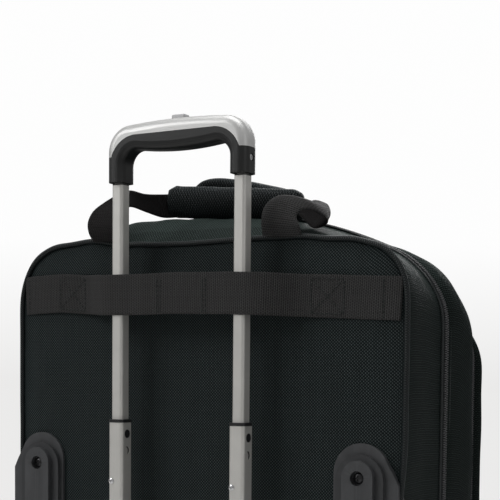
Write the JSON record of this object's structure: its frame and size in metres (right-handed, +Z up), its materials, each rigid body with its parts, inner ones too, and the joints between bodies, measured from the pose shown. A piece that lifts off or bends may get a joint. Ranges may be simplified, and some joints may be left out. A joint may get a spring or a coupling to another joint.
{
  "type": "rolling laptop case",
  "caption": "Soft-sided wheeled case for a laptop, with a telescoping trolley handle on its back, skid guards over two wheels, a padded carry handle and zipped front compartments.",
  "frame": {"origin": "on the floor, in the middle of the footprint of the case with its handle down", "axes": "+Z up, +Y out of the back (the trolley side), -Y out of the front (the pocket side), X across the width"},
  "size_m": [0.429, 0.289, 0.52],
  "materials": {
    "bag_fabric": "matte ballistic weave",
    "piping": "glossy cord",
    "board": "plain",
    "lining": "plain nylon lining",
    "webbing": "ribbed webbing",
    "zip_tape": "woven tape with moulded teeth",
    "guard_plastic": "satin moulded",
    "screw_black": "blackened",
    "hub_plastic": "satin moulded",
    "tyre": "smooth polyurethane",
    "bush_steel": "turned",
    "axle_steel": "zinc plated",
    "base_plastic": "fine texture",
    "foot_rubber": "matte",
    "tube_aluminium": "satin anodised",
    "collar_plastic": "satin moulded",
    "screw_steel": "plated",
    "grip_plastic": "fine texture",
    "grip_silver": "satin silver paint",
    "button_plastic": "satin",
    "handle_pad": "padded ribbed fabric",
    "slider_metal": "black nickel",
    "pull_cord": "moulded cord"
  },
  "bodies": {
    "case": {"main_compartment": "bag_fabric", "back_piping": "piping", "stiffener_boards": "board", "laptop_sleeve": "lining", "laptop_retaining_strap": "webbing", "main_zipper_rear_half": "zip_tape", "lid_hinge_strip": "bag_fabric", "wheel_guard_left": "guard_plastic", "wheel_guard_right": "guard_plastic", "guard_screws": "screw_black", "wheel_axles": "axle_steel", "base_tray": "base_plastic", "front_feet": "foot_rubber", "trolley_bracket": "base_plastic", "base_screws": "screw_steel", "outer_tube_left": "tube_aluminium", "outer_tube_right": "tube_aluminium", "guide_collars": "collar_plastic", "tube_screws": "screw_steel", "tube_strap": "webbing"},
    "middle_stage": {"middle_tube_left": "tube_aluminium", "middle_tube_right": "tube_aluminium", "middle_collars": "collar_plastic", "middle_guide_blocks": "collar_plastic", "lower_pin_springs": "axle_steel"},
    "lower_lock_pins": {"lower_lock_pins": "axle_steel"},
    "grip_stage": {"inner_tube_left": "tube_aluminium", "inner_tube_right": "tube_aluminium", "inner_guide_blocks": "collar_plastic", "upper_pin_springs": "axle_steel", "grip_lower": "grip_plastic", "grip_shell": "grip_silver", "grip_screws": "screw_steel", "button_spring": "axle_steel"},
    "release_button": {"release_button": "button_plastic", "release_bar": "collar_plastic", "release_rods": "axle_steel"},
    "upper_lock_pins": {"upper_lock_pins": "axle_steel"},
    "wheel_left": {"wheel_hub_left": "hub_plastic", "tyre_left": "tyre", "wheel_bushes_left": "bush_steel"},
    "wheel_right": {"wheel_hub_right": "hub_plastic", "tyre_right": "tyre", "wheel_bushes_right": "bush_steel"},
    "carry_handle": {"carry_handle_webbing": "webbing", "carry_handle_pad": "handle_pad"},
    "lid": {"lid_section": "bag_fabric", "main_zipper_front_half": "zip_tape", "front_zipper_rear_half": "zip_tape", "panel_hinge_strip": "bag_fabric"},
    "front_handle": {"front_handle": "webbing"},
    "front_panel": {"front_panel": "bag_fabric", "front_pocket": "bag_fabric", "front_zipper_front_half": "zip_tape"},
    "main_slider_left": {"main_slider_left": "slider_metal"},
    "main_pull_left": {"main_pull_left": "pull_cord"},
    "main_slider_right": {"main_slider_right": "slider_metal"},
    "main_pull_right": {"main_pull_right": "pull_cord"},
    "front_slider": {"front_slider": "slider_metal"},
    "front_pull": {"front_pull": "pull_cord"}
  },
  "joints": [
    {"name": "lower_stage_slide", "type": "slide", "parent": "case", "child": "middle_stage", "axis": [0, 0, 1], "range_m": [-0.085, 0.055]},
    {"name": "upper_stage_slide", "type": "slide", "parent": "middle_stage", "child": "grip_stage", "axis": [0, 0, 1], "range_m": [0, 0.255]},
    {"name": "release_button_press", "type": "slide", "parent": "grip_stage", "child": "release_button", "axis": [0, 0, -1], "range_m": [0, 0.003], "stiffness_N_per_m": 600, "springref_m": -0.001, "deforming": ["button_spring"]},
    {"name": "upper_lock_pins_slide", "type": "slide", "parent": "grip_stage", "child": "upper_lock_pins", "axis": [-1, 0, 0], "range_m": [0, 0.0008], "deforming": ["upper_pin_springs"]},
    {"name": "lower_lock_pins_slide", "type": "slide", "parent": "middle_stage", "child": "lower_lock_pins", "axis": [1, 0, 0], "range_m": [0, 0.0008], "deforming": ["lower_pin_springs"]},
    {"name": "wheel_left_spin", "type": "hinge", "parent": "case", "child": "wheel_left", "pos_m": [0.18, 0.1095, 0.035], "axis": [1, 0, 0], "continuous": true},
    {"name": "wheel_right_spin", "type": "hinge", "parent": "case", "child": "wheel_right", "pos_m": [-0.18, 0.1095, 0.035], "axis": [1, 0, 0], "continuous": true},
    {"name": "carry_handle_swing", "type": "hinge", "parent": "case", "child": "carry_handle", "pos_m": [0, 0.1055, 0.4195], "axis": [1, 0, 0], "range_deg": [-36, 0]},
    {"name": "lid_open", "type": "hinge", "parent": "case", "child": "lid", "pos_m": [0, -0.0165, 0.042], "axis": [1, 0, 0], "range_deg": [0, 90]},
    {"name": "front_handle_swing", "type": "hinge", "parent": "lid", "child": "front_handle", "pos_m": [0, -0.023, 0.4405], "axis": [1, 0, 0], "range_deg": [0, 85]},
    {"name": "front_panel_open", "type": "hinge", "parent": "lid", "child": "front_panel", "pos_m": [0, -0.0975, 0.046], "axis": [1, 0, 0], "range_deg": [0, 75]},
    {"name": "main_slider_left_slide", "type": "slide", "parent": "case", "child": "main_slider_left", "axis": [0, 0, 1], "range_m": [-0.05, 0.18]},
    {"name": "main_pull_left_flip", "type": "hinge", "parent": "main_slider_left", "child": "main_pull_left", "pos_m": [0.2122, -0.0165, 0.1507], "axis": [0, -1, 0], "range_deg": [0, 150]},
    {"name": "main_slider_right_slide", "type": "slide", "parent": "case", "child": "main_slider_right", "axis": [0, 0, 1], "range_m": [-0.05, 0.18]},
    {"name": "main_pull_right_flip", "type": "hinge", "parent": "main_slider_right", "child": "main_pull_right", "pos_m": [-0.2122, -0.0165, 0.1507], "axis": [0, 1, 0], "range_deg": [0, 150]},
    {"name": "front_slider_slide", "type": "slide", "parent": "lid", "child": "front_slider", "axis": [0, 0, 1], "range_m": [-0.05, 0.13]},
    {"name": "front_pull_flip", "type": "hinge", "parent": "front_slider", "child": "front_pull", "pos_m": [-0.2081, -0.0975, 0.1507], "axis": [0, 1, 0], "range_deg": [0, 150]}
  ],
  "couplings": [
    {"joint": "upper_lock_pins_slide", "follows": "release_button_press", "ratio": 0.26667},
    {"joint": "lower_lock_pins_slide", "follows": "release_button_press", "ratio": 0.26667}
  ]
}
